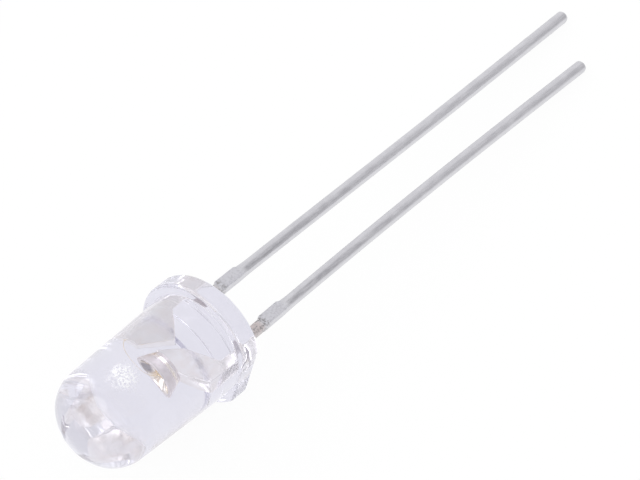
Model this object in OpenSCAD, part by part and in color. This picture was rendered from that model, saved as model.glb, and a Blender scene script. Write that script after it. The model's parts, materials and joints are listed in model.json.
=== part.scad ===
// Clear 5 mm through-hole light-emitting diode, in millimetres.
// It lies as it comes to rest on a flat surface: on the rim of its flange and on the tips of its two leads.
// The origin is the centre of the seating face, the flat underside of the flange that the leads come out of.
// +X runs from the leads towards the dome, tilted up by the small angle at which the body rests.

/* [Moulded body] */
// Diameter of the body where it rises from the flange
body_base_d = 5.0; // [4.6:0.1:5.4]
// Draft angle by which the body narrows towards the dome
body_draft = 1.5; // [0:0.25:3]
// Height from the seating face to the top of the dome
body_h = 8.6; // [7.6:0.1:10.6]
// Radius of the crown of the dome
crown_r = 2.7; // [2.6:0.1:3.4]
// Radius of the shoulder between the crown and the straight wall
shoulder_r = 1.7; // [1.2:0.1:1.9]

/* [Flange] */
// How far the flange stands out from the foot of the body
flange_step = 0.45; // [0.2:0.05:0.8]
// Thickness of the flange
flange_t = 0.95; // [0.6:0.05:1.6]
// Radius that rounds the two rims of the flange
flange_edge_r = 0.08; // [0.02:0.02:0.2]
// How far the flat that marks the cathode stands out from the foot of the body
flat_step = 0.05; // [0.02:0.01:0.15]

/* [Leads] */
// Distance between the centres of the two leads
lead_pitch = 2.54; // [2.3:0.02:2.8]
// Length of the anode lead below the seating face
anode_len = 26.7; // [16:0.1:32]
// How much shorter the cathode lead is
cathode_shorter = 1.7; // [0:0.1:4]
// Width across the flats of a lead
lead_w = 0.5; // [0.42:0.02:0.6]
// Radius of the coined corners of a lead
lead_corner_r = 0.15; // [0.05:0.01:0.19]
// Radius of the rounded end of a lead
tip_r = 0.22; // [0.1:0.01:0.25]

/* [Stubs of the tie bar] */
// Distance from the seating face to the stub left where the tie bar was cut off
stub_drop = 2.1; // [1.2:0.1:5]
// Length of the stub along the lead
stub_len = 1.5; // [0.8:0.1:3]
// How far the stub stands out from the side of the lead
stub_bulge = 0.07; // [0.02:0.01:0.3]
// Chamfer at the two ends of the stub
stub_chamfer = 0.15; // [0.05:0.05:0.3]

/* [Lead frame inside the body] */
// Thickness of the sheet that the lead frame is stamped from
sheet_t = 0.52; // [0.44:0.02:0.7]
// Height where each round-cornered lead becomes flat sheet
sheet_z = 0.6; // [0.3:0.1:0.9]
// Height where the inner edge of the anvil leaves the cathode lead
anvil_branch_z = 1.2; // [1:0.1:1.8]
// Height of the anvil's inner corner, on the axis
anvil_corner_z = 2.2; // [1.9:0.05:2.8]
// Height where the outer edge of the anvil turns in towards the cup
anvil_shoulder_z = 2.25; // [1.8:0.05:2.8]
// Width of the anvil's neck under the cup
neck_w = 0.92; // [0.8:0.02:1.2]
// Height where the flag of the post leaves the anode lead
post_branch_z = 1.0; // [0.9:0.1:1.6]
// Height of the top of the post, where the wire is stitched
post_top_z = 3.65; // [3.4:0.05:4.2]
// Gap between the anvil and the post
frame_gap = 0.35; // [0.2:0.05:0.6]
// Gap between the rim of the cup and the top of the post
post_cup_gap = 0.2; // [0.1:0.05:0.35]

/* [Reflector cup] */
// Height of the rim of the cup
cup_rim_z = 4.15; // [4:0.05:5]
// Outer diameter of the rim
cup_rim_d = 1.28; // [1.2:0.02:1.6]
// Outer diameter where the cup grows out of the anvil
cup_base_d = 0.92; // [0.7:0.02:1.1]
// Height of the outside of the cup
cup_h = 0.9; // [0.7:0.05:1.1]
// Inner diameter at the mouth
cup_mouth_d = 1.04; // [0.9:0.02:1.16]
// Inner diameter at the floor
cup_floor_d = 0.56; // [0.5:0.02:0.66]
// Depth of the cup
cup_depth = 0.4; // [0.3:0.05:0.5]

/* [Die and wire] */
// Side of the square die
die_w = 0.28; // [0.2:0.02:0.32]
// Height of the die
die_h = 0.18; // [0.1:0.02:0.24]
// Diameter of the spot of silver paste under the die
paste_d = 0.44; // [0.42:0.01:0.48]
// Thickness of the paste
paste_t = 0.02; // [0.01:0.005:0.04]
// Diameter of the gold wire
wire_d = 0.03; // [0.025:0.005:0.05]
// Diameter of the pressed ball that bonds the wire to the die
ball_d = 0.09; // [0.08:0.01:0.12]
// Height of the pressed ball
ball_h = 0.03; // [0.02:0.005:0.05]
// Diameter of the flat stitch that bonds the wire to the post
stitch_d = 0.1; // [0.08:0.01:0.14]
// Thickness of the stitch
stitch_t = 0.015; // [0.01:0.005:0.03]
// Height of the wire's loop above the straight line between its ends
loop_h = 0.7; // [0.65:0.05:1.2]

/* [Hidden] */
$fn = 64;
smooth = 128;    // facets of the large round faces
clear = 1;       // how far a cutter runs past what it cuts
neck_root = 0.2; // how far the sheet runs up inside the foot of the cup

base_r = body_base_d / 2;
flange_r = base_r + flange_step;
flat_x = base_r + flat_step;
lead_x = lead_pitch / 2;
half_w = lead_w / 2;
cathode_len = anode_len - cathode_shorter;
cup_base_z = cup_rim_z - cup_h;
cup_floor_z = cup_rim_z - cup_depth;
die_z = cup_floor_z + paste_t;

// Outline of the body, half of its section: the drafted wall, the shoulder arc and the crown arc are tangent.
wall_out = [cos(body_draft), sin(body_draft)];                           // square to the wall, outwards
wall_up = [-sin(body_draft), cos(body_draft)];                           // along the wall, towards the dome
crown_c = [0, body_h - crown_r];                                         // centre of the crown
shoulder_foot = [base_r, flange_t] - shoulder_r * wall_out;
foot_run = wall_up * (shoulder_foot - crown_c);
foot_reach = norm(shoulder_foot - crown_c);
shoulder_climb = sqrt(foot_run ^ 2 - foot_reach ^ 2 + (crown_r - shoulder_r) ^ 2) - foot_run;
shoulder_c = shoulder_foot + shoulder_climb * wall_up;                   // centre of the shoulder
wall_top = shoulder_c + shoulder_r * wall_out;                           // where the wall meets the shoulder
crown_edge = crown_c + crown_r * (shoulder_c - crown_c) / norm(shoulder_c - crown_c);

// Lead tip: a rounded end cut by a round envelope that just holds the lead's corners.
corner_reach = (half_w - lead_corner_r) * sqrt(2) + lead_corner_r;
function tip_setback(r) = tip_r - sqrt(tip_r ^ 2 - max(0, r - corner_reach + tip_r) ^ 2);

// Rest: the flange rim and both lead tips touch one plane.
// roll turns the body about its own axis, because the two leads differ in length; tilt raises the dome.
function lead_reach(roll) = (half_w - lead_corner_r) * (abs(sin(roll)) + cos(roll)) + lead_corner_r;
function tilt_at(reach) =
    let (
        drop = flange_r - flange_edge_r - reach,
        run = (anode_len + cathode_len) / 2 - tip_setback(reach) + flange_edge_r
    )
    atan2(drop, run) + asin(flange_edge_r / norm([drop, run]));
function roll_at(tilt) = -asin(cathode_shorter * tan(tilt) / lead_pitch);
roll = roll_at(tilt_at(half_w));
tilt = tilt_at(lead_reach(roll));

// Loop of the wire: an arc from the ball on the die to the stitch on the post.
wire_from = [0, die_z + die_h + ball_h / 2];
post_in_x = -cup_rim_d / 2 - post_cup_gap;
post_out_x = -lead_x - half_w;
wire_to = [(post_in_x + post_out_x) / 2, post_top_z + stitch_t / 2];
wire_span = norm(wire_from - wire_to);
wire_r = (wire_span ^ 2 / 4 + loop_h ^ 2) / (2 * loop_h);
wire_side = [wire_to.y - wire_from.y, wire_from.x - wire_to.x] / wire_span;    // square to the span, upwards
wire_c = (wire_from + wire_to) / 2 + (loop_h - wire_r) * wire_side;
wire_a0 = atan2(wire_from.y - wire_c.y, wire_from.x - wire_c.x);
wire_a1 = atan2(wire_to.y - wire_c.y, wire_to.x - wire_c.x);
wire_sweep = (wire_a1 - wire_a0 + 360) % 360;

// Sheet outlines, as [x, height]
anvil_outline = [
    [lead_x - half_w, sheet_z], [lead_x + half_w, sheet_z], [lead_x + half_w, anvil_shoulder_z],
    [neck_w / 2, cup_base_z], [neck_w / 2 - neck_root, cup_base_z + neck_root],
    [-neck_w / 2 + neck_root, cup_base_z + neck_root], [-neck_w / 2, cup_base_z],
    [0, anvil_corner_z], [lead_x - half_w, anvil_branch_z]
];
post_outline = [
    [post_out_x, sheet_z], [-lead_x + half_w, sheet_z], [-lead_x + half_w, post_branch_z],
    [-frame_gap, anvil_corner_z], [post_in_x, post_top_z], [post_out_x, post_top_z]
];

// From the upright frame, with the dome up and the leads down, to the way the part lies.
module lie() {
    rotate([0, -tilt, 0])
        rotate([roll, 0, 0])
            rotate([90, 0, 90])
                children();
}

// A flat sheet that stands in the plane of the leads.
module sheet(outline) {
    translate([0, sheet_t / 2, 0])
        rotate([90, 0, 0])
            linear_extrude(height = sheet_t)
                polygon(outline);
}

module rounded_square(side, r) {
    square([side, side - 2 * r], center = true);
    square([side - 2 * r, side], center = true);
    for (x = [-1, 1], y = [-1, 1])
        translate([x * (side / 2 - r), y * (side / 2 - r)])
            circle(r);
}

// The part of a lead outside the sheet, with its rounded tip and the stub of the tie bar.
module lead_wire(len) {
    intersection() {
        translate([0, 0, -len])
            linear_extrude(height = len + sheet_z)
                rounded_square(lead_w, lead_corner_r);
        rotate_extrude()
            tip_envelope(len);
    }
    sheet([
        [0, -stub_drop], [-half_w, -stub_drop], [-half_w - stub_bulge, -stub_drop - stub_chamfer],
        [-half_w - stub_bulge, -stub_drop - stub_len + stub_chamfer], [-half_w, -stub_drop - stub_len],
        [0, -stub_drop - stub_len], [half_w - lead_corner_r, -stub_drop - stub_len + stub_chamfer],
        [half_w - lead_corner_r, -stub_drop - stub_chamfer]
    ]);
}

// Half section of the round envelope: a bar as wide as the lead's corners with a rounded lower end.
module tip_envelope(len) {
    flat_end = corner_reach - tip_r;
    translate([flat_end, tip_r - len])
        intersection() {
            circle(tip_r);
            translate([0, -tip_r])
                square([tip_r, tip_r]);
        }
    translate([0, -len])
        square([flat_end, len + clear]);
    translate([0, tip_r - len])
        square([corner_reach, len - tip_r + clear]);
}

module cathode_shape() {
    translate([lead_x, 0, 0])
        lead_wire(cathode_len);
    difference() {
        union() {
            sheet(anvil_outline);
            translate([0, 0, cup_base_z])
                cylinder(h = cup_h, d1 = cup_base_d, d2 = cup_rim_d, $fn = smooth);
        }
        cup_hollow();
    }
}

// The hollow's wall runs on past the rim at the same slope.
module cup_hollow() {
    flare = (cup_mouth_d - cup_floor_d) / cup_depth;
    translate([0, 0, cup_floor_z])
        cylinder(h = cup_depth + clear, d1 = cup_floor_d, d2 = cup_mouth_d + flare * clear, $fn = smooth);
}

module anode_shape() {
    translate([-lead_x, 0, 0])
        lead_wire(anode_len);
    sheet(post_outline);
}

module paste_shape() {
    translate([0, 0, cup_floor_z])
        cylinder(h = paste_t, d = paste_d);
}

module die_shape() {
    translate([-die_w / 2, -die_w / 2, die_z])
        cube([die_w, die_w, die_h]);
}

module wire_shape() {
    translate([wire_c.x, 0, wire_c.y])
        rotate([90, 0, 0])
            rotate(wire_a0)
                rotate_extrude(angle = wire_sweep)
                    translate([wire_r, 0])
                        circle(d = wire_d);
    translate([wire_from.x, 0, die_z + die_h])
        cylinder(h = ball_h, d = ball_d);
    translate([wire_to.x, 0, post_top_z])
        cylinder(h = stitch_t, d = stitch_d);
}

// Half section of the flange, with both rims rounded.
module flange_half() {
    r = flange_edge_r;
    square([flange_r - r, flange_t]);
    translate([0, r])
        square([flange_r, flange_t - 2 * r]);
    for (z = [r, flange_t - r])
        translate([flange_r - r, z])
            circle(r);
}

// Half section of the body above the flange.
module body_half() {
    polygon([
        [0, flange_t / 2], [base_r, flange_t / 2], [base_r, flange_t], wall_top, shoulder_c, crown_c
    ]);
    intersection() {
        translate(shoulder_c)
            circle(shoulder_r);
        translate([shoulder_c.x, 0])
            square([flange_r, body_h + clear]);
    }
    intersection() {
        translate(crown_c)
            circle(crown_r);
        polygon([crown_c, crown_c + 2 * (crown_edge - crown_c), [0, body_h + crown_r]]);
    }
}

module lens_outside() {
    difference() {
        rotate_extrude($fn = smooth) {
            flange_half();
            body_half();
        }
        translate([flat_x, -flange_r, -clear])
            cube([flange_step + clear, 2 * flange_r, flange_t + 2 * clear]);
    }
}

module lens() {
    color([0.86, 0.85, 0.93, 0.4])
        lie()
            difference() {
                lens_outside();
                cathode_shape();
                anode_shape();
                paste_shape();
                die_shape();
                wire_shape();
            }
}

module cathode_lead() {
    color([0.76, 0.76, 0.78])
        lie() cathode_shape();
}

module anode_lead() {
    color([0.72, 0.72, 0.74])
        lie() anode_shape();
}

module die() {
    color([0.93, 0.62, 0.25])
        lie() die_shape();
}

module die_attach() {
    color([0.6, 0.6, 0.62])
        lie() paste_shape();
}

module bond_wire() {
    color([0.85, 0.65, 0.25])
        lie() wire_shape();
}

lens();
cathode_lead();
anode_lead();
die();
die_attach();
bond_wire();
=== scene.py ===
# Clear 5 mm through-hole LED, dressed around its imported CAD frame.
# Pieces are made upright in metres, with the seating face at z = 0, the dome up and the leads down,
# and layDown then turns them to the way the part lies. Sizes that the CAD settles are read from its nodes.
import bmesh
import bpy
import json
import math
from mathutils import Matrix, Vector

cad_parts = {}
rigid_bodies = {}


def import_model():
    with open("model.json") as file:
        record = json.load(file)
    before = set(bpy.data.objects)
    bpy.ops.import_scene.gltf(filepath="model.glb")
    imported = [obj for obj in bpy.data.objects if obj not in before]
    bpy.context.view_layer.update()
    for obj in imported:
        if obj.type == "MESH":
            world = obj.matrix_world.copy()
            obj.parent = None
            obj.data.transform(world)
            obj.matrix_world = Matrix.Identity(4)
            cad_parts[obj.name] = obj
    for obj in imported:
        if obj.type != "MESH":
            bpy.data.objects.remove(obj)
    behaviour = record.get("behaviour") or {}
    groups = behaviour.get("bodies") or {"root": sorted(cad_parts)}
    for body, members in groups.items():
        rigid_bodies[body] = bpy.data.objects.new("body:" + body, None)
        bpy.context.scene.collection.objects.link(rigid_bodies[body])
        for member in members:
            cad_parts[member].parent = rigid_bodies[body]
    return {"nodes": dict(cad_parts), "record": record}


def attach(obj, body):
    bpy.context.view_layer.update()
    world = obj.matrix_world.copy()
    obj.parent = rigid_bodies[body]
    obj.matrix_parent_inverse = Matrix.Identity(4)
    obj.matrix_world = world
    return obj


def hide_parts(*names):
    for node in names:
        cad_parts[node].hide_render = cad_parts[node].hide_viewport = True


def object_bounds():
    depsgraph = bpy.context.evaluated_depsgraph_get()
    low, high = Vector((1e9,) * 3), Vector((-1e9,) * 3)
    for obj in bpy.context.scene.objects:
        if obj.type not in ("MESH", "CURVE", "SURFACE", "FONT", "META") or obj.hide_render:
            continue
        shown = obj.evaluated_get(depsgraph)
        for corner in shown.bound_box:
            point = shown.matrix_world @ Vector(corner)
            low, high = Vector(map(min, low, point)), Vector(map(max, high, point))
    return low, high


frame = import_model()
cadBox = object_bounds()
nodes = frame["nodes"]
mounts = {mount["name"]: mount for mount in frame["record"]["mounts"]}
mm = 0.001

# upright axes: z from the leads to the dome, x from the anode lead to the cathode lead
bodyUp = -Vector(mounts["seating_face"]["axis"]).normalized()
acrossLeads = Vector(mounts["cathode_pin"]["pos_m"]) - Vector(mounts["anode_pin"]["pos_m"])
acrossLeads -= acrossLeads.dot(bodyUp) * bodyUp
leadPitch = acrossLeads.length
acrossLeads.normalize()
layDown = Matrix((acrossLeads, bodyUp.cross(acrossLeads), bodyUp)).transposed().to_4x4()


def uprightBox(name):
    standUp = layDown.inverted()
    corners = [standUp @ vertex.co for vertex in nodes[name].data.vertices]
    return [Vector([pick(corner[i] for corner in corners) for i in range(3)]) for pick in (min, max)]


cathodeBox = uprightBox("cathode_lead")
anodeBox = uprightBox("anode_lead")
dieBox = uprightBox("die")
pasteBox = uprightBox("die_attach")
lensBox = uprightBox("lens")
print("frame loaded: leads", round(leadPitch / mm, 2), "mm apart, cup rim",
      round(cathodeBox[1].z / mm, 2), "mm up")


def addPiece(name, mesh):
    piece = bpy.data.objects.new(name, mesh)
    bpy.context.scene.collection.objects.link(piece)
    return piece


def meshFrom(bm, name):
    mesh = bpy.data.meshes.new(name)
    bm.to_mesh(mesh)
    bm.free()
    return mesh


def bake(piece):
    # swaps a piece's live modifiers, or its curve, for the plain mesh they make
    bpy.context.view_layer.update()
    graph = bpy.context.evaluated_depsgraph_get()
    mesh = bpy.data.meshes.new_from_object(piece.evaluated_get(graph))
    name = piece.name
    bpy.data.objects.remove(piece)
    mesh.name = name
    return addPiece(name, mesh)


def smoothBelow(mesh, degrees):
    for face in mesh.polygons:
        face.use_smooth = True
    mesh.set_sharp_from_angle(angle=math.radians(degrees))


def bevelEdges(piece, width, sharpest=25):
    bevel = piece.modifiers.new("edges", "BEVEL")
    bevel.width = width
    bevel.segments = 3
    bevel.limit_method = "ANGLE"
    bevel.angle_limit = math.radians(sharpest)
    return bake(piece)


def skinRows(bm, rows):
    # side faces between closed rows of points, and a cap on each end
    for lower, upper in zip(rows, rows[1:]):
        for i in range(len(lower)):
            j = (i + 1) % len(lower)
            bm.faces.new((lower[i], lower[j], upper[j], upper[i]))
    bm.faces.new(rows[0][::-1])
    bm.faces.new(rows[-1])
    bmesh.ops.recalc_face_normals(bm, faces=bm.faces)


def joinInto(piece, others):
    # true union of closed shells
    for other in others:
        modifier = piece.modifiers.new("join", "BOOLEAN")
        modifier.operation = "UNION"
        modifier.solver = "EXACT"
        modifier.material_mode = "TRANSFER"
        modifier.object = other
    piece = bake(piece)
    for other in others:
        bpy.data.objects.remove(other)
    return piece


def finishPiece(piece, node, sharpAngle=30, evenNormals=False):
    smoothBelow(piece.data, sharpAngle)
    if evenNormals:
        modifier = piece.modifiers.new("even", "WEIGHTED_NORMAL")
        modifier.keep_sharp = True
        modifier.weight = 60
        piece = bake(piece)
    piece.data.transform(layDown)
    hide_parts(node)
    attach(piece, "root")
    return piece


def arc(centre, radius, start, end, steps):
    angles = [start + (end - start) * i / steps for i in range(steps + 1)]
    return [centre + radius * Vector((math.cos(a), math.sin(a))) for a in angles]


class NodeBench:
    # short way to add and link the nodes of one tree
    def __init__(self, tree):
        self.tree = tree

    def add(self, kind, **settings):
        node = self.tree.nodes.new(kind)
        for key, value in settings.items():
            setattr(node, key, value)
        return node

    def feed(self, socket, value):
        if isinstance(value, bpy.types.NodeSocket):
            self.tree.links.new(value, socket)
        else:
            socket.default_value = value

    def math(self, operation, *values):
        node = self.add("ShaderNodeMath", operation=operation)
        for socket, given in zip(node.inputs, values):
            self.feed(socket, given)
        return node.outputs[0]

    def times(self, *values):
        product = values[0]
        for value in values[1:]:
            product = self.math("MULTIPLY", product, value)
        return product

    def split(self, place):
        node = self.add("ShaderNodeSeparateXYZ")
        self.feed(node.inputs[0], place)
        return node.outputs

    def vector(self, operation, a, b):
        node = self.add("ShaderNodeVectorMath", operation=operation)
        self.feed(node.inputs[0], a)
        self.feed(node.inputs[1], b)
        return node.outputs["Value" if operation == "DISTANCE" else "Vector"]

    def noise(self, place, scale, detail=2.0, roughness=0.5, distortion=0.0):
        node = self.add("ShaderNodeTexNoise")
        self.feed(node.inputs["Vector"], place)
        self.feed(node.inputs["Scale"], scale)
        self.feed(node.inputs["Detail"], detail)
        self.feed(node.inputs["Roughness"], roughness)
        self.feed(node.inputs["Distortion"], distortion)
        return node.outputs["Fac"]

    def span(self, value, fromLow, fromHigh, toLow=0.0, toHigh=1.0, smooth=False):
        node = self.add("ShaderNodeMapRange", interpolation_type="SMOOTHSTEP" if smooth else "LINEAR")
        for socket, given in zip(node.inputs, (value, fromLow, fromHigh, toLow, toHigh)):
            self.feed(socket, given)
        return node.outputs[0]

    def fade(self, value, none, full, toLow=0.0, toHigh=1.0):
        # toLow at none, easing to toHigh at full
        return self.span(value, none, full, toLow, toHigh, smooth=True)

    def blend(self, share, low, high):
        node = self.add("ShaderNodeMix", data_type="RGBA")
        colours = [socket for socket in node.inputs if socket.type == "RGBA"]
        self.feed(node.inputs[0], share)
        self.feed(colours[0], (*low, 1.0) if isinstance(low, tuple) else low)
        self.feed(colours[1], (*high, 1.0) if isinstance(high, tuple) else high)
        return [socket for socket in node.outputs if socket.type == "RGBA"][0]

    def bump(self, height, strength, distance, normal=None):
        node = self.add("ShaderNodeBump")
        self.feed(node.inputs["Height"], height)
        self.feed(node.inputs["Strength"], strength)
        self.feed(node.inputs["Distance"], distance)
        if normal:
            self.feed(node.inputs["Normal"], normal)
        return node.outputs[0]


def newMaterial(name):
    material = bpy.data.materials.new(name)
    material.use_nodes = True
    material.node_tree.nodes.clear()
    bench = NodeBench(material.node_tree)
    out = bench.add("ShaderNodeOutputMaterial")
    shader = bench.add("ShaderNodeBsdfPrincipled")
    bench.feed(out.inputs["Surface"], shader.outputs[0])
    return material, bench, shader.inputs


def uprightPlace(bench):
    # Object coordinates turned back upright, in millimetres
    turn = bench.add("ShaderNodeMapping", vector_type="TEXTURE")
    turn.inputs["Rotation"].default_value = layDown.to_euler()
    turn.inputs["Scale"].default_value = (mm, mm, mm)
    bench.feed(turn.inputs["Vector"], bench.add("ShaderNodeTexCoord").outputs["Object"])
    return turn.outputs[0]


def newGeometryTree(name, inputs):
    tree = bpy.data.node_groups.new(name, "GeometryNodeTree")
    for label, kind in inputs.items():
        tree.interface.new_socket(label, in_out="INPUT", socket_type="NodeSocket" + kind)
    tree.interface.new_socket("Piece", in_out="OUTPUT", socket_type="NodeSocketGeometry")
    bench = NodeBench(tree)
    return tree, bench, bench.add("NodeGroupInput").outputs


def endTree(bench, geometry, material):
    real = bench.add("GeometryNodeRealizeInstances")
    paint = bench.add("GeometryNodeSetMaterial")
    bench.feed(real.inputs[0], geometry)
    bench.feed(paint.inputs["Geometry"], real.outputs[0])
    bench.feed(paint.inputs["Material"], material)
    bench.feed(bench.add("NodeGroupOutput").inputs[0], paint.outputs[0])


def runTree(piece, tree, values):
    modifier = piece.modifiers.new("shape", "NODES")
    modifier.node_group = tree
    for item in tree.interface.items_tree:
        if item.in_out == "INPUT" and item.name in values:
            modifier[item.identifier] = values[item.name]
    return bake(piece)


poleBore = 1e-6  # radius of the turning circle, taken off again, so that the poles close on the axis


def makeTurningTree():
    # turns the half section that carries it about the z axis
    tree, bench, given = newGeometryTree("turnedSection", {
        "Half section": "Geometry", "Steps around": "Int", "Bore": "Float", "Material": "Material"})
    circle = bench.add("GeometryNodeCurvePrimitiveCircle")
    bench.feed(circle.inputs["Resolution"], given["Steps around"])
    bench.feed(circle.inputs["Radius"], given["Bore"])
    sweep = bench.add("GeometryNodeCurveToMesh")
    bench.feed(sweep.inputs["Curve"], circle.outputs["Curve"])
    bench.feed(sweep.inputs["Profile Curve"], given["Half section"])
    weld = bench.add("GeometryNodeMergeByDistance")
    bench.feed(weld.inputs["Geometry"], sweep.outputs[0])
    bench.feed(weld.inputs["Distance"], poleBore / 10)
    endTree(bench, weld.outputs[0], given["Material"])
    return tree


turningTree = makeTurningTree()


def turned(name, outline, material, around):
    # outline: half section as (radius, height), from the axis at the foot round to the axis at the top
    curve = bpy.data.curves.new(name, "CURVE")
    curve.dimensions = "3D"
    spline = curve.splines.new("POLY")
    spline.points.add(len(outline) - 1)
    for point, (radius, height) in zip(spline.points, reversed(outline)):
        point.co = (radius - poleBore, -height, 0, 1)
    return runTree(addPiece(name, curve), turningTree, {
        "Steps around": around, "Bore": poleBore, "Material": material})


epoxy = {
    "tint": (0.768, 0.76, 0.848),
    "clearTint": (0.79, 0.782, 0.87),    # in the clearer streaks of the resin
    "streakScale": 0.55,                 # patterns are counted per mm
    "absorb": (0.83, 0.82, 0.91),
    "absorbDensity": 5.0,                # per metre
    "refraction": 1.53,
    "waviness": 0.06,
    "waveScale": 0.7,
    "seatRoughness": 0.03,               # the underside set in air, duller than the moulded faces
    "seatReach": (0.05, 0.03),           # mm over the seat where that ends
    "frostColour": (0.92, 0.92, 0.945),
    "frostCentre": (-0.03, 2.36, 6.27),  # mm, upright
    "frostRadius": 0.92,
    "frostCore": 0.3,                    # share of the radius that is frosted all through
    "frostStray": 0.45,                  # mm that its edge strays
    "frostStrayScale": 2.2,
    "speckScale": 8.0,
    "speckCover": (0.44, 0.54),
    "frostClearness": 0.1,
    "frostRoughness": 0.4,
    "frostBump": 0.5,
}


def makeEpoxy():
    e = epoxy
    material, bench, shader = newMaterial("clearEpoxy")
    place = uprightPlace(bench)
    shader["IOR"].default_value = e["refraction"]
    # a spot rubbed dull on the upper side, made of fine bright specks
    ragged = bench.noise(place, e["frostStrayScale"], 3.0)
    away = bench.math("ADD", bench.vector("DISTANCE", place, e["frostCentre"]),
                      bench.span(ragged, 0.0, 1.0, -e["frostStray"], e["frostStray"]))
    spot = bench.fade(away, e["frostRadius"], e["frostRadius"] * e["frostCore"])
    frost = bench.times(spot, bench.fade(bench.noise(place, e["speckScale"], 2.0, 0.6), *e["speckCover"]))
    streaks = bench.span(bench.noise(place, e["streakScale"], 2.0, 0.5, 0.6), 0.35, 0.65)
    resin = bench.blend(streaks, e["tint"], e["clearTint"])
    bench.feed(shader["Base Color"], bench.blend(frost, resin, e["frostColour"]))
    bench.feed(shader["Transmission Weight"], bench.span(frost, 0.0, 1.0, 1.0, e["frostClearness"]))
    under = bench.fade(bench.split(place)["Z"], *e["seatReach"])
    uneven = bench.span(bench.noise(place, 3.0), 0.3, 0.7, 0.7, 1.3)
    dull = bench.times(under, uneven, e["seatRoughness"])
    bench.feed(shader["Roughness"], bench.math("MAXIMUM", dull, bench.times(frost, e["frostRoughness"])))
    moulded = bench.bump(bench.noise(place, e["waveScale"], 1.0), e["waviness"], 0.3 * mm)
    bench.feed(shader["Normal"], bench.bump(frost, e["frostBump"], 0.02 * mm, moulded))
    volume = bench.add("ShaderNodeVolumeAbsorption")
    volume.inputs["Color"].default_value = (*e["absorb"], 1)
    volume.inputs["Density"].default_value = e["absorbDensity"]
    output = [node for node in material.node_tree.nodes if node.type == "OUTPUT_MATERIAL"][0]
    bench.feed(output.inputs["Volume"], volume.outputs[0])
    return material


clearEpoxy = makeEpoxy()

body = {
    "footRadius": 2.5 * mm,
    "draft": math.radians(1.5),
    "crownRadius": 2.7 * mm,
    "shoulderRadius": 1.7 * mm,
    "flangeThickness": 0.95 * mm,
    "seatEdge": 0.08 * mm,
    "topEdge": 0.2 * mm,
    "stepFillet": 0.06 * mm,
    "flatBlend": 0.16 * mm,       # how softly the flat runs into the round of the flange
    "guard": 0.02 * mm,           # rings this near keep the flats flat beside the rounded edges
    "dish": 0.04 * mm,
    "creepHeight": 0.12 * mm,     # how far the epoxy creeps down each lead
    "creepReach": 0.16 * mm,
    "creepCore": 0.22 * mm,       # half width of the lead that it starts from
    "around": 360,
    "arcSteps": 36,
    "seatSteps": 48,
    "seatEdgeSteps": 6,
    "topEdgeSteps": 10,
    "filletSteps": 5,
    "wallSteps": 20,
}
flangeRadius = mounts["flange_rim"]["dims"]["r_mm"] * mm


def bodyOutline(b):
    # dished seating face, rounded rim, step, drafted wall, shoulder and crown
    rim, thick, edge, top, guard = flangeRadius, b["flangeThickness"], b["seatEdge"], b["topEdge"], b["guard"]
    wallOut = Vector((math.cos(b["draft"]), math.sin(b["draft"])))
    wallUp = Vector((-wallOut.y, wallOut.x))
    crown = Vector((0, lensBox[1].z - b["crownRadius"]))
    wallFoot = Vector((b["footRadius"], thick))
    shoulderFoot = wallFoot - b["shoulderRadius"] * wallOut
    run = wallUp.dot(shoulderFoot - crown)
    reach = b["crownRadius"] - b["shoulderRadius"]
    climb = math.sqrt(run * run - (shoulderFoot - crown).length_squared + reach * reach) - run
    shoulder = shoulderFoot + climb * wallUp
    turn = math.atan2((shoulder - crown).y, (shoulder - crown).x)
    wallTop = shoulder + b["shoulderRadius"] * wallOut
    seatEnd = rim - edge - guard
    steps = b["seatSteps"]
    points = []
    for i in range(steps + 1):
        points.append(Vector((seatEnd * i / steps, b["dish"] * (1 - (i / steps) ** 2) ** 2)))
    points += arc(Vector((rim - edge, edge)), edge, -math.pi / 2, 0, b["seatEdgeSteps"])
    points.append(Vector((rim, edge + guard)))
    points.append(Vector((rim, thick - top - guard)))
    points += arc(Vector((rim - top, thick - top)), top, 0, math.pi / 2, b["topEdgeSteps"])
    fillet = b["stepFillet"]
    points += arc(wallFoot + Vector((fillet, fillet)), fillet, -math.pi / 2, -math.pi, b["filletSteps"])
    points += [wallFoot.lerp(wallTop, i / b["wallSteps"]) for i in range(1, b["wallSteps"])]
    points += arc(shoulder, b["shoulderRadius"], b["draft"], turn, b["arcSteps"])
    points += arc(crown, b["crownRadius"], turn, math.pi / 2, b["arcSteps"])[1:]
    return points


def flangeReach(b, turn):
    # radius of the flange at a turn about the axis: round, but for the cathode flat and its soft corners
    flat = lensBox[1].x / max(math.cos(turn), 0.05)
    share = min(max(0.5 + 0.5 * (flat - flangeRadius) / b["flatBlend"], 0.0), 1.0)
    return flat + (flangeRadius - flat) * share - b["flatBlend"] * share * (1 - share)


def nearLead(b, x, y):
    # 0 to 1, how close a place on the seating face is to a lead
    half = b["creepCore"]
    gaps = []
    for lead in (-leadPitch / 2, leadPitch / 2):
        gaps.append(math.hypot(max(abs(x - lead) - half, 0), max(abs(y) - half, 0)))
    return math.exp(-(min(gaps) / b["creepReach"]) ** 2)


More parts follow.
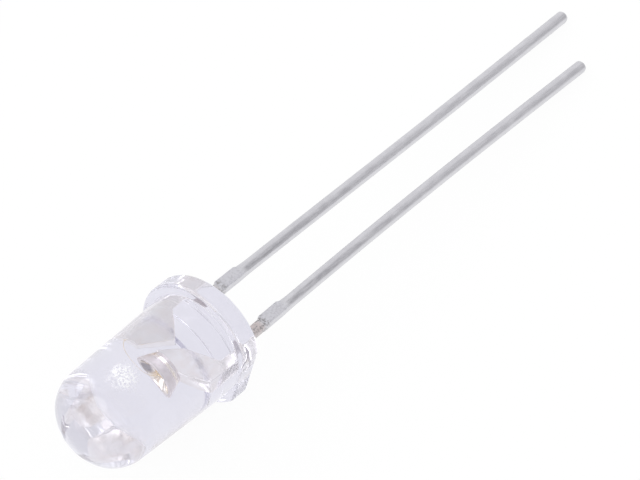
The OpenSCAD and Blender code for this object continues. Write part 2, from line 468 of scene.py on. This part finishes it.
def makeBody():
    b = body
    piece = turned("lens_body", bodyOutline(b), clearEpoxy, b["around"])
    middle = b["flangeThickness"] / 2
    seatEnd = flangeRadius - b["seatEdge"] - b["guard"]
    for vertex in piece.data.vertices:
        radius = math.hypot(vertex.co.x, vertex.co.y)
        if radius < poleBore / 10:
            continue
        reach = flangeReach(b, math.atan2(vertex.co.y, vertex.co.x))
        if vertex.co.z < middle:
            drawn = radius - flangeRadius + reach
            if radius < seatEnd:
                drawn = radius * (seatEnd - flangeRadius + reach) / seatEnd
        else:
            squeeze = (reach - b["footRadius"]) / (flangeRadius - b["footRadius"])
            drawn = radius + max(radius - b["footRadius"], 0) * (squeeze - 1)
        vertex.co.x *= drawn / radius
        vertex.co.y *= drawn / radius
        if radius < seatEnd and vertex.co.z < middle:
            vertex.co.z -= b["creepHeight"] * nearLead(b, vertex.co.x, vertex.co.y)
    return finishPiece(piece, "lens", sharpAngle=25)


lens = makeBody()
print("epoxy body:", len(lens.data.polygons), "faces")


def makeMetal(name, look, addMarks=None):
    material, bench, shader = newMaterial(name)
    place = uprightPlace(bench)
    streaks = bench.noise(bench.vector("MULTIPLY", place, look["grain"]), 1.0, 4.0, 0.6)
    clouds = bench.noise(place, look["cloudScale"], 3.0, 0.55)
    shade = bench.math("ADD", bench.times(streaks, 0.5), bench.times(clouds, 0.5))
    used = (0.3, 0.7)  # the part of the pattern's range that shows
    colour = bench.blend(bench.span(shade, *used), look["dark"], look["light"])
    rough = bench.span(shade, *used, look["rough"][1], look["rough"][0])
    if addMarks:
        colour, rough = addMarks(bench, place, colour, rough)
    bench.feed(shader["Base Color"], colour)
    shader["Metallic"].default_value = 1.0
    bench.feed(shader["Roughness"], rough)
    grain = bench.bump(streaks, look["bump"], 0.02 * mm)
    bench.feed(shader["Normal"], bench.bump(clouds, look["bump"], 0.03 * mm, grain))
    return material


leadSizes = {
    "halfWidth": 0.25 * mm,
    "roundness": 5.4,             # 2 is a round wire, large is square
    "tipRadius": 0.22 * mm,
    "bow": 0.127 * mm,            # how far the cathode lead bows outwards
    "drift": 0.105 * mm,          # how far the anode lead leans inwards
    "driftRun": (0.05, 0.75),     # shares of its length between which it does
    "stubDrop": 2.1 * mm,
    "stubLength": 1.5 * mm,
    "stubBulge": 0.07 * mm,
    "stubChamfer": 0.15 * mm,
    "stubSquareness": 16.0,
    "farSquareness": 0.3,         # share of it on the side away from the shear
    "stubStart": (-0.02 * mm, 0.08 * mm),
    "stubEnd": (-0.2 * mm, 0.45 * mm),
    "sheetHeight": 0.6 * mm,
    "sheetLap": 0.2 * mm,         # how far the bar runs on into the sheet
    "sheetEdge": 0.03 * mm,
    "cornerSteps": 12,
    "tipSteps": 10,
}
# painted reflection along the leads, standing in for the dark part of the tent that they mirror
paintedReflection = {
    "colour": (0.38, 0.375, 0.405),
    "edges": ((0.29, 0.212), (0.075, 0.165)),  # shares of the way round the lead, none and full
    "startFade": (0.0, -0.35),                 # mm from the stub's foot
    "fade": (-14.0, -5.0),                     # mm along the lead
    "farShare": 0.62,
    "streakBreakupGrain": (7.0, 7.0, 1.3),
    "streakBreakupCover": (0.36, 0.62),
    "streakBreakupShare": 0.35,
    "streakSpotGrain": (16.0, 16.0, 1.5),
    "streakSpotCover": (0.55, 0.68),
    "streakSpotFade": (-4.5, -0.5),                 # mm from the stub's foot
}
stub = {
    "roughness": 0.4,
    "colour": (0.65, 0.645, 0.69),
    "pitColour": (0.55, 0.545, 0.585),
    "pitScale": 10.0,
    "pitCover": (0.34, 0.56),
    "footFade": (-0.25, 0.15),                 # mm from its foot
    "topFade": (0.1, -0.1),                    # mm from its top
    "sheared": ((0.06, 0.1), (0.94, 0.9)),     # the side away from the shear stays bright
    "shearedLeast": 0.3,
    "neckColour": (0.56, 0.48, 0.47),
    "neckShare": 0.75,
    "neckStart": (-0.1, 0.25),                 # mm from the stub's top
    "neckFade": (-0.5, -1.4),                  # mm along the lead
    "neckLeast": 0.3,
    # dark spots in a band where the neck meets the stub; their colour also darkens spots in the painted
    # streak
    "darkSpot": (0.34, 0.33, 0.34),
    "darkSpotScale": 9.0,
    "darkSpotCover": (0.47, 0.6),
    "darkSpotStart": (-0.5, -0.1),
    "darkSpotFade": (-0.8, -1.5),
}


def shifted(start, offsets):
    return [start + offset for offset in offsets]


def addLeadMarks(bench, place, colour, rough):
    height = bench.split(place)["Z"]
    around = bench.split(bench.add("ShaderNodeUVMap", uv_map="leadPlace").outputs[0])["X"]
    top = -leadSizes["stubDrop"] / mm
    foot = top - leadSizes["stubLength"] / mm
    # painted reflection: a dark streak along one corner of the lead stands in for the dark part of the tent
    # that the lead mirrors; noise breaks it up, and it is darker in spots near the stub
    d = paintedReflection
    streakBreakup = bench.noise(bench.vector("MULTIPLY", place, d["streakBreakupGrain"]), 1.0, 5.0, 0.7)
    drawn = bench.times(*[bench.fade(around, *edge) for edge in d["edges"]],
                        bench.fade(height, *shifted(foot, d["startFade"])),
                        bench.fade(height, *d["fade"], d["farShare"], 1.0),
                        bench.span(streakBreakup, *d["streakBreakupCover"], d["streakBreakupShare"], 1.0))
    colour = bench.blend(drawn, colour, d["colour"])
    streakSpotNoise = bench.noise(bench.vector("MULTIPLY", place, d["streakSpotGrain"]), 1.0, 4.0, 0.65)
    streakSpots = bench.times(bench.fade(streakSpotNoise, *d["streakSpotCover"]), drawn,
                         bench.fade(height, *shifted(foot, d["streakSpotFade"])))
    colour = bench.blend(streakSpots, colour, stub["darkSpot"])
    # the sheared stub is pitted and duller
    sheared = bench.times(*[bench.span(around, *edge, stub["shearedLeast"], 1.0) for edge in stub["sheared"]])
    onStub = bench.times(bench.fade(height, *shifted(foot, stub["footFade"])),
                         bench.fade(height, *shifted(top, stub["topFade"])), sheared)
    rough = bench.math("MAXIMUM", rough, bench.times(onStub, stub["roughness"]))
    pits = bench.fade(bench.noise(place, stub["pitScale"], 3.0, 0.65), *stub["pitCover"])
    colour = bench.blend(onStub, colour, bench.blend(pits, stub["pitColour"], stub["colour"]))
    # and has a brown neck above it, with dark spots in a band where the two meet
    neck = bench.times(bench.fade(height, *shifted(top, stub["neckStart"])),
                       bench.fade(height, *stub["neckFade"], stub["neckLeast"], 1.0), stub["neckShare"])
    colour = bench.blend(neck, colour, stub["neckColour"])
    spots = bench.fade(bench.noise(place, stub["darkSpotScale"], 2.0, 0.6), *stub["darkSpotCover"])
    spots = bench.times(spots, bench.times(bench.fade(height, *shifted(top, stub["darkSpotStart"])),
                                           bench.fade(height, *stub["darkSpotFade"])))
    return bench.blend(spots, colour, stub["darkSpot"]), rough


# painted shade in the bowl of the cup, where the bowl shows dark
paintedShade = {
    "centre": (-0.43, -0.22, 4.04),            # mm, upright
    "radius": 0.28,
    "stray": 0.05,
    "colour": (0.42, 0.40, 0.41),
}


def addPaintedShade(bench, place, colour, rough):
    # painted shade: a patch of the bowl darkened round one place
    stray = bench.span(bench.noise(place, 14.0, 2.0), 0.0, 1.0, -paintedShade["stray"], paintedShade["stray"])
    away = bench.math("ADD", bench.vector("DISTANCE", place, paintedShade["centre"]), stray)
    patch = bench.fade(away, paintedShade["radius"], paintedShade["radius"] * 0.5)
    return bench.blend(patch, colour, paintedShade["colour"]), rough


tinPlate = makeMetal("tinPlate", {
    "dark": (0.58, 0.575, 0.61), "light": (0.69, 0.685, 0.72), "rough": (0.14, 0.24),
    "grain": (26.0, 26.0, 1.6), "cloudScale": 2.4, "bump": 0.15}, addLeadMarks)
silverPlate = makeMetal("silverPlate", {
    "dark": (0.975, 0.93, 0.885), "light": (1.0, 1.0, 0.98), "rough": (0.1, 0.2),
    "grain": (7.0, 7.0, 1.4), "cloudScale": 2.2, "bump": 0.08})
cupOutside = makeMetal("cupOutside", {
    "dark": (0.89, 0.83, 0.81), "light": (1.0, 0.955, 0.935), "rough": (0.34, 0.46),
    "grain": (9.0, 9.0, 5.0), "cloudScale": 5.0, "bump": 0.2})
cupSilver = makeMetal("cupSilver", {
    "dark": (0.97, 0.89, 0.77), "light": (1.0, 0.965, 0.9), "rough": (0.07, 0.18),
    "grain": (6.0, 6.0, 6.0), "cloudScale": 5.0, "bump": 0.1}, addPaintedShade)
goldWire = makeMetal("goldWire", {
    "dark": (0.88, 0.76, 0.56), "light": (0.98, 0.90, 0.74), "rough": (0.16, 0.3),
    "grain": (30.0, 30.0, 30.0), "cloudScale": 12.0, "bump": 0.1})
pasteSilver = makeMetal("silverPaste", {
    "dark": (0.6, 0.58, 0.55), "light": (0.85, 0.84, 0.82), "rough": (0.4, 0.7),
    "grain": (60.0, 60.0, 60.0), "cloudScale": 25.0, "bump": 0.6})
dieCrystal = makeMetal("dieCrystal", {
    "dark": (0.88, 0.62, 0.33), "light": (1.0, 0.84, 0.56), "rough": (0.1, 0.3),
    "grain": (20.0, 20.0, 20.0), "cloudScale": 10.0, "bump": 0.1})


def ease(value, start, end):
    share = min(max((value - start) / (end - start), 0.0), 1.0)
    return share * share * (3 - 2 * share)


def bowOut(share):
    # sideways place of the cathode lead at a share of its length: a slight even bow
    return -leadSizes["bow"] * math.sin(math.pi * min(max(share, 0.0), 1.0))


def driftIn(share):
    # and of the anode lead: it leans over and then runs on straight
    return leadSizes["drift"] * ease(share, *leadSizes["driftRun"])


def leadSection(s, depth, halfSheet):
    # one ring of a lead at a depth below the seating face: nearly square with soft corners,
    # sharper at the stub
    start, end = s["stubDrop"], s["stubDrop"] + s["stubLength"]
    begun = ease(depth, *shifted(start, s["stubStart"]))
    ended = ease(depth, *shifted(end, s["stubEnd"]))
    square = begun * (1 - ended)
    bulge = min(max(min(depth - start, end - depth) / s["stubChamfer"], 0.0), 1.0)
    thick = s["halfWidth"] + (halfSheet - s["halfWidth"]) * square
    ring = []
    for i in range(s["cornerSteps"] * 4):
        turn = 2 * math.pi * (i + 0.5) / (s["cornerSteps"] * 4)
        side, up = math.cos(turn), math.sin(turn)
        share = square if side < 0 else square * s["farSquareness"]
        power = s["roundness"] + (s["stubSquareness"] - s["roundness"]) * share
        reach = (abs(side) ** power + abs(up) ** power) ** (-1 / power)
        wide = s["halfWidth"] + (s["stubBulge"] * bulge if side < 0 else 0)
        ring.append(Vector((side * reach * wide, up * reach * thick)))
    return ring


def makeLeadBar(name, x, length, bend):
    s = leadSizes
    halfSheet = anodeBox[1].y
    cornerReach = s["halfWidth"] * math.sqrt(2) * 0.5 ** (1 / s["roundness"])
    depths = [-s["sheetHeight"] - s["sheetLap"], 0.0]
    start, end = s["stubDrop"], s["stubDrop"] + s["stubLength"]
    fine = 0.02 * mm
    runs = (  # from, to and step: close where the section changes, wide on the plain runs
        (0.4 * mm, start - 0.1 * mm, 0.3 * mm),
        (start - 0.06 * mm, start + 0.2 * mm, fine),
        (start + 0.3 * mm, end - 0.25 * mm, 0.1 * mm),
        (end - 0.2 * mm, end + 0.5 * mm, fine),
        (end + 0.6 * mm, length - s["tipRadius"] - 0.1 * mm, 0.4 * mm))
    for low, high, step in runs:
        count = max(1, round((high - low) / step))
        depths += [low + (high - low) * i / count for i in range(count + 1)]
    rings = [(depth, 1.0) for depth in depths]
    for i in range(s["tipSteps"] + 1):
        turn = math.pi / 2 * i / s["tipSteps"]
        rings.append((length - s["tipRadius"] * (1 - math.sin(turn)),
                      cornerReach - s["tipRadius"] * (1 - math.cos(turn))))
    bm = bmesh.new()
    places = bm.loops.layers.uv.new("leadPlace")  # u runs round the lead, v down it
    rows = []
    for depth, envelope in rings:
        shift = bend(depth / length)
        row = []
        for point in leadSection(s, depth, halfSheet):
            if envelope < 1.0 and point.length > envelope:
                point = point * (envelope / point.length)
            row.append(bm.verts.new((x + shift + point.x, point.y, -depth)))
        rows.append(row)
    count = len(rows[0])
    for upper, lower in zip(rows, rows[1:]):
        for i in range(count):
            j = (i + 1) % count
            face = bm.faces.new((upper[i], lower[i], lower[j], upper[j]))
            for loop, step in zip(face.loops, (i, i, i + 1, i + 1)):
                loop[places].uv = ((step + 0.5) / count, -loop.vert.co.z / length)
    bm.faces.new(rows[0])
    bm.faces.new(rows[-1][::-1])
    for face in bm.faces:
        if face.calc_center_median().z > 0:
            face.material_index = 1  # only the part inside the body keeps bare silver
    bmesh.ops.recalc_face_normals(bm, faces=bm.faces)
    mesh = meshFrom(bm, name)
    mesh.materials.append(tinPlate)
    mesh.materials.append(silverPlate)
    return addPiece(name, mesh)


def makeSheet(name, outline, material):
    # stamped sheet in the plane of the leads, its edges slightly rounded by the punch
    half = anodeBox[1].y
    bm = bmesh.new()
    front = [bm.verts.new((x * mm, -half, z * mm)) for x, z in outline]
    back = [bm.verts.new((x * mm, half, z * mm)) for x, z in outline]
    bm.faces.new(front)
    bm.faces.new(back[::-1])
    for i in range(len(outline)):
        j = (i + 1) % len(outline)
        bm.faces.new((front[i], back[i], back[j], front[j]))
    bmesh.ops.recalc_face_normals(bm, faces=bm.faces)
    mesh = meshFrom(bm, name)
    mesh.materials.append(material)
    return bevelEdges(addPiece(name, mesh), leadSizes["sheetEdge"])


# anvil, post and cup in mm, heights from the seating face
anvil = {
    "branchHeight": 1.2,
    "cornerHeight": 2.2,
    "shoulderHeight": 2.25,
    "neckWidth": 0.9,
    "neckRoot": 0.2,
}
post = {
    "branchHeight": 1.0,
    "frameGap": 0.35,
    "cupGap": 0.2,
    "top": anodeBox[1].z / mm,
}
cup = {
    "height": 0.9,
    "rimRadius": 0.64,
    "baseRadius": 0.46,
    "mouthRadius": 0.52,
    "floorRadius": 0.28,
    "depth": 0.4,
    "rimEdge": 0.03,
    "lipShare": 0.6,          # the inner edge of the rim is that much sharper
    "floorCurve": ((0.02, 0.06), (-0.02, 0.01), (-0.06, 0.0)),  # out from the floor's radius, and up
    "rimHeight": cathodeBox[1].z / mm,
    "around": 96,
}


def cupOutline(c):
    # from the middle of the foot, up the outside, over the rim and down the bowl to its middle
    rim, foot = c["rimHeight"], c["rimHeight"] - c["height"]
    floor, edge, lip = rim - c["depth"], c["rimEdge"], c["rimEdge"] * c["lipShare"]
    base = Vector((c["baseRadius"], foot))
    outer = Vector((c["rimRadius"], rim - edge))
    points = [Vector((0, foot)), Vector((c["baseRadius"] * 0.5, foot)), base]
    points += [base.lerp(outer, i / 5) for i in range(1, 6)]
    points += arc(Vector((c["rimRadius"] - edge, rim - edge)), edge, 0.1, math.pi / 2, 5)
    points += arc(Vector((c["mouthRadius"] + lip, rim - lip)), lip, math.pi / 2, math.pi * 0.8, 3)
    mouth = points[-1]
    bend = [Vector((c["floorRadius"] + out, floor + up)) for out, up in c["floorCurve"]]
    points += [mouth.lerp(bend[0], i / 6) for i in range(1, 7)] + bend[1:]
    points += [Vector((c["floorRadius"] * 0.4, floor)), Vector((0, floor))]
    return [point * mm for point in points]


def makeLeads():
    leadX = leadPitch / 2 / mm
    half = leadSizes["halfWidth"] / mm
    low = leadSizes["sheetHeight"] / mm
    foot = cup["rimHeight"] - cup["height"]
    neck, root = anvil["neckWidth"] / 2, anvil["neckRoot"]
    anvilOutline = [
        (leadX - half, low), (leadX + half, low), (leadX + half, anvil["shoulderHeight"]),
        (neck, foot), (neck - root, foot + root), (-neck + root, foot + root), (-neck, foot),
        (0, anvil["cornerHeight"]), (leadX - half, anvil["branchHeight"])]
    postOutline = [
        (-leadX - half, low), (-leadX + half, low), (-leadX + half, post["branchHeight"]),
        (-post["frameGap"], anvil["cornerHeight"]), (-cup["rimRadius"] - post["cupGap"], post["top"]),
        (-leadX - half, post["top"])]
    cathode = makeLeadBar("cathode", leadX * mm, -cathodeBox[0].z, bowOut)
    anode = makeLeadBar("anode", -leadX * mm, -anodeBox[0].z, driftIn)
    anvilSheet = makeSheet("anvil", anvilOutline, silverPlate)
    postSheet = makeSheet("post", postOutline, silverPlate)
    cupPiece = turned("cup", cupOutline(cup), cupSilver, cup["around"])
    cupPiece.data.materials.append(cupOutside)
    for face in cupPiece.data.polygons:
        centre = face.center / mm
        outside = math.hypot(centre.x, centre.y) > cup["mouthRadius"] + 0.01
        if outside or centre.z < foot + cup["height"] * 0.1:
            face.material_index = 1  # only the bowl is polished
    cathode = joinInto(cathode, [anvilSheet, cupPiece])
    anode = joinInto(anode, [postSheet])
    for piece, node in ((cathode, "cathode_lead"), (anode, "anode_lead")):
        piece = finishPiece(piece, node, evenNormals=True)
        print(piece.name, "lead:", len(piece.data.polygons), "faces")


makeLeads()

die = {
    "sawnFoot": 0.01,          # mm that the foot stands out past the top on each side
    "sawnDepth": (0.45, 0.5),  # shares of the height between which it steps in
    "edge": 0.004,
    "padRadius": 0.055,
    "padTaper": 0.9,
    "padHeight": 0.004,
    "padSides": 32,
}


def makeDie(d):
    # crystal with a slightly wider sawn foot and a gold pad on top
    low, high = dieBox
    half, tall, pad = (high.x - low.x) / 2, high.z - low.z, d["padHeight"] * mm
    top = half - d["sawnFoot"] * mm
    levels = ((low.z, half), (low.z + tall * d["sawnDepth"][0], half),
              (low.z + tall * d["sawnDepth"][1], top), (high.z - pad, top))
    corners = ((1, 1), (-1, 1), (-1, -1), (1, -1))
    bm = bmesh.new()
    skinRows(bm, [[bm.verts.new((x * reach, y * reach, z)) for x, y in corners] for z, reach in levels])
    mesh = meshFrom(bm, "die_crystal")
    mesh.materials.append(dieCrystal)
    mesh.materials.append(goldWire)
    piece = bevelEdges(addPiece("die_crystal", mesh), d["edge"] * mm)
    bm = bmesh.new()
    bm.from_mesh(piece.data)
    made = bmesh.ops.create_cone(bm, cap_ends=True, segments=d["padSides"], radius1=d["padRadius"] * mm,
                                 radius2=d["padRadius"] * d["padTaper"] * mm, depth=pad)
    bmesh.ops.translate(bm, verts=made["verts"], vec=(0, 0, high.z - pad / 2))
    for face in {face for vertex in made["verts"] for face in vertex.link_faces}:
        face.material_index = 1
    bm.to_mesh(piece.data)
    bm.free()
    return finishPiece(piece, "die")


paste = {
    "unevenness": 0.012,   # mm
    "climb": 0.03,         # how far it creeps up the sides of the die
    "mound": ((1.0, 0.0), (0.985, 0.35), (0.94, 0.75), (0.86, 1.0), (0.78, 1.15)),  # of reach and height
    "dieHold": 0.96,       # it ends a little inside the die's sides
    "topReach": 0.76,
    "around": 72,
}


def makePaste(p):
    # spot of silver paste: a low uneven mound that creeps up the sides of the die
    low, high = pasteBox
    reach = (high.x - low.x) / 2
    dieHalf = (dieBox[1].x - dieBox[0].x) / 2
    turns = [2 * math.pi * i / p["around"] for i in range(p["around"])]
    bm = bmesh.new()
    rows = []
    for share, lift in p["mound"]:
        row = []
        for turn in turns:
            uneven = p["unevenness"] * mm * (math.sin(3 * turn + 0.6) + 0.6 * math.sin(7 * turn + 2.1))
            radius = (reach - 1.6 * p["unevenness"] * mm + uneven) * share
            height = low.z + (high.z - low.z) * lift
            row.append(bm.verts.new((radius * math.cos(turn), radius * math.sin(turn), height)))
        rows.append(row)
    row = []
    for turn in turns:
        square = dieHalf * p["dieHold"] / max(abs(math.cos(turn)), abs(math.sin(turn)))
        radius = min(square, reach * p["topReach"])
        height = high.z + p["climb"] * mm * (0.6 + 0.4 * math.sin(2 * turn + 1))
        row.append(bm.verts.new((radius * math.cos(turn), radius * math.sin(turn), height)))
    rows.append(row)
    skinRows(bm, rows)
    mesh = meshFrom(bm, "die_paste")
    mesh.materials.append(pasteSilver)
    return finishPiece(addPiece("die_paste", mesh), "die_attach", sharpAngle=50)


wire = {
    "radius": 0.01,                   # mm
    "ballRadius": 0.044,
    "ballHeight": 0.03,
    "overBall": (0.04, 0, 0.78),      # the curve's handle from the ball
    "overStitch": (0.12, 0, 0.9),     # and from the stitch
    "stitch": (0.045, 0.025, 0.008),  # half its length, width and thickness
    "stitchLift": 0.004,
    "wireSteps": 40,
    "wireSides": 14,
    "lumpSides": 28,
}


def makeWireTree(w):
    # a bond wire: pressed ball, looped wire and flat stitch
    tree, bench, given = newGeometryTree("bondWire", {
        "Ball": "Vector", "Over ball": "Vector", "Over stitch": "Vector", "Stitch": "Vector",
        "Wire radius": "Float", "Ball size": "Vector", "Stitch size": "Vector", "Material": "Material"})
    loop = bench.add("GeometryNodeCurvePrimitiveBezierSegment")
    loop.inputs["Resolution"].default_value = w["wireSteps"]
    for socket, label in (("Start", "Ball"), ("Start Handle", "Over ball"), ("End Handle", "Over stitch"),
                          ("End", "Stitch")):
        bench.feed(loop.inputs[socket], given[label])
    section = bench.add("GeometryNodeCurvePrimitiveCircle")
    section.inputs["Resolution"].default_value = w["wireSides"]
    bench.feed(section.inputs["Radius"], given["Wire radius"])
    sweep = bench.add("GeometryNodeCurveToMesh")
    bench.feed(sweep.inputs["Curve"], loop.outputs[0])
    bench.feed(sweep.inputs["Profile Curve"], section.outputs["Curve"])
    sweep.inputs["Fill Caps"].default_value = True
    together = bench.add("GeometryNodeJoinGeometry")
    bench.feed(together.inputs[0], sweep.outputs[0])
    for size, centre in (("Ball size", "Ball"), ("Stitch size", "Stitch")):
        lump = bench.add("GeometryNodeMeshUVSphere")
        lump.inputs["Segments"].default_value = w["lumpSides"]
        lump.inputs["Rings"].default_value = w["lumpSides"] // 2
        lump.inputs["Radius"].default_value = 1.0
        pressed = bench.add("GeometryNodeTransform")
        bench.feed(pressed.inputs["Geometry"], lump.outputs[0])
        bench.feed(pressed.inputs["Scale"], given[size])
        bench.feed(pressed.inputs["Translation"], given[centre])
        bench.feed(together.inputs[0], pressed.outputs[0])
    endTree(bench, together.outputs[0], given["Material"])
    return tree


def makeWire(w):
    ball = Vector((0, 0, dieBox[1].z / mm + w["ballHeight"] * 0.4))
    postOuter = -leadPitch / 2 / mm - leadSizes["halfWidth"] / mm
    postInner = -cup["rimRadius"] - post["cupGap"]
    stitch = Vector(((postOuter + postInner) / 2, 0, post["top"] + w["stitchLift"]))
    blank = addPiece("bond_wire_loop", bpy.data.meshes.new("bond_wire_loop"))
    piece = runTree(blank, makeWireTree(w), {
        "Ball": ball * mm,
        "Over ball": (ball + Vector(w["overBall"])) * mm,
        "Over stitch": (stitch + Vector(w["overStitch"])) * mm,
        "Stitch": stitch * mm,
        "Wire radius": w["radius"] * mm,
        "Ball size": Vector((w["ballRadius"], w["ballRadius"], w["ballHeight"] / 2)) * mm,
        "Stitch size": Vector(w["stitch"]) * mm,
        "Material": goldWire})
    return finishPiece(piece, "bond_wire", sharpAngle=50)


makeDie(die)
makePaste(paste)
makeWire(wire)
print("die, paste and wire made")

view = {
    "aim": (-7.727, -0.112, -0.783),  # mm
    "azimuth": 123.549,
    "elevation": 51.911,
    "roll": 8.072,
    "distance": 260.964,              # mm
    "lens": 337.5,
    "clip": (0.001, 10.0),            # m
}


def makeCamera(v):
    data = bpy.data.cameras.new("camera")
    data.lens = v["lens"]
    data.clip_start, data.clip_end = v["clip"]
    camera = bpy.data.objects.new("camera", data)
    azimuth, elevation = math.radians(v["azimuth"]), math.radians(v["elevation"])
    back = Vector((math.sin(azimuth) * math.cos(elevation), -math.cos(azimuth) * math.cos(elevation),
                   math.sin(elevation)))
    camera.location = (Vector(v["aim"]) + v["distance"] * back) * mm
    camera.rotation_euler = ((-back).to_track_quat("-Z", "Y").to_matrix()
                             @ Matrix.Rotation(math.radians(v["roll"]), 3, "Z")).to_euler()
    bpy.context.scene.collection.objects.link(camera)
    bpy.context.scene.camera = camera


makeCamera(view)

studio = {
    "tent": 1.0,                    # brightness of the light tent all round
    "shadeDepth": 0.15,             # how much darker the far half of its roof is
    "shadeSkew": 0.5,
    "shadeEdge": (-0.62, -0.42),
    "domeEnd": (0.95, 0.7),         # towards both ends the tent is bright again
    "leadEnd": (-0.97, -0.8),
    "floorColour": 0.93,
    "floorGlow": 0.95,              # share of the floor that shows as plain white
    "floorSize": 1.5,
    "lampSize": 0.5,
    "lampPower": 1.1,
    "lampEdge": (0.5, 0.36),        # from a lamp's middle, where its face has no light and all of it
    "lamps": ((0.1, -0.5, 0.3), (0.45, -0.1, 0.4)),
}


def seenShare(bench):
    # 1 for rays that the camera, gloss or glass sees, 0 for light
    paths = bench.add("ShaderNodeLightPath").outputs
    seen = bench.math("MAXIMUM", paths["Is Camera Ray"], paths["Is Glossy Ray"])
    return bench.math("MAXIMUM", seen, paths["Is Transmission Ray"])


def makeFloor():
    bm = bmesh.new()
    bmesh.ops.create_circle(bm, cap_ends=True, segments=64, radius=studio["floorSize"])
    mesh = meshFrom(bm, "floor")
    mesh.transform(Matrix.Translation((0, 0, cadBox[0].z)))
    material = bpy.data.materials.new("floorWhite")
    material.use_nodes = True
    material.node_tree.nodes.clear()
    bench = NodeBench(material.node_tree)
    plain = bench.add("ShaderNodeBsdfDiffuse")
    plain.inputs["Color"].default_value = (studio["floorColour"],) * 3 + (1,)
    glow = bench.add("ShaderNodeEmission")
    mix = bench.add("ShaderNodeMixShader")
    bench.feed(mix.inputs[0], bench.times(seenShare(bench), studio["floorGlow"]))
    bench.feed(mix.inputs[1], plain.outputs[0])
    bench.feed(mix.inputs[2], glow.outputs[0])
    bench.feed(bench.add("ShaderNodeOutputMaterial").inputs["Surface"], mix.outputs[0])
    mesh.materials.append(material)
    addPiece("floor", mesh)


def makeSky():
    # an even light tent whose roof is darker on the far side
    world = bpy.data.worlds.new("tent")
    bpy.context.scene.world = world
    world.use_nodes = True
    world.node_tree.nodes.clear()
    bench = NodeBench(world.node_tree)
    way = bench.split(bench.add("ShaderNodeTexCoord").outputs["Generated"])
    across = bench.math("MULTIPLY_ADD", way["X"], studio["shadeSkew"], way["Y"])
    shade = bench.times(bench.fade(across, *studio["shadeEdge"]), bench.fade(way["X"], *studio["domeEnd"]),
                        bench.fade(way["X"], *studio["leadEnd"]))
    back = bench.add("ShaderNodeBackground")
    back.inputs["Color"].default_value = (1, 1, 1, 1)
    level = bench.span(shade, 0, 1, studio["tent"], studio["tent"] - studio["shadeDepth"])
    bench.feed(back.inputs["Strength"], level)
    bench.feed(bench.add("ShaderNodeOutputWorld").inputs[0], back.outputs[0])


def softenLamp(data):
    # the face fades towards its rim, so its image in the glass has no hard edge
    data.use_nodes = True
    bench = NodeBench(data.node_tree)
    face = bench.add("ShaderNodeNewGeometry").outputs["Parametric"]
    middle = bench.vector("DISTANCE", face, (0.5, 0.5, 0.0))
    glow = [node for node in data.node_tree.nodes if node.type == "EMISSION"][0]
    bench.feed(glow.inputs["Strength"], bench.fade(middle, *studio["lampEdge"]))


def makeLamps():
    for i, place in enumerate(studio["lamps"]):
        data = bpy.data.lights.new("softLamp", "AREA")
        data.shape = "DISK"
        data.size = studio["lampSize"]
        data.energy = studio["lampPower"]
        softenLamp(data)
        lamp = bpy.data.objects.new("softLamp" + str(i + 1), data)
        lamp.location = place
        lamp.rotation_euler = Vector(place).to_track_quat("Z", "Y").to_euler()
        bpy.context.scene.collection.objects.link(lamp)


makeFloor()
makeSky()
makeLamps()
bounces = 96  # light crosses the clear body many times before it leaves
bpy.context.scene.cycles.max_bounces = bounces
bpy.context.scene.cycles.glossy_bounces = bounces
bpy.context.scene.cycles.transmission_bounces = bounces
bpy.context.scene.view_settings.view_transform = "Standard"
print("studio ready")
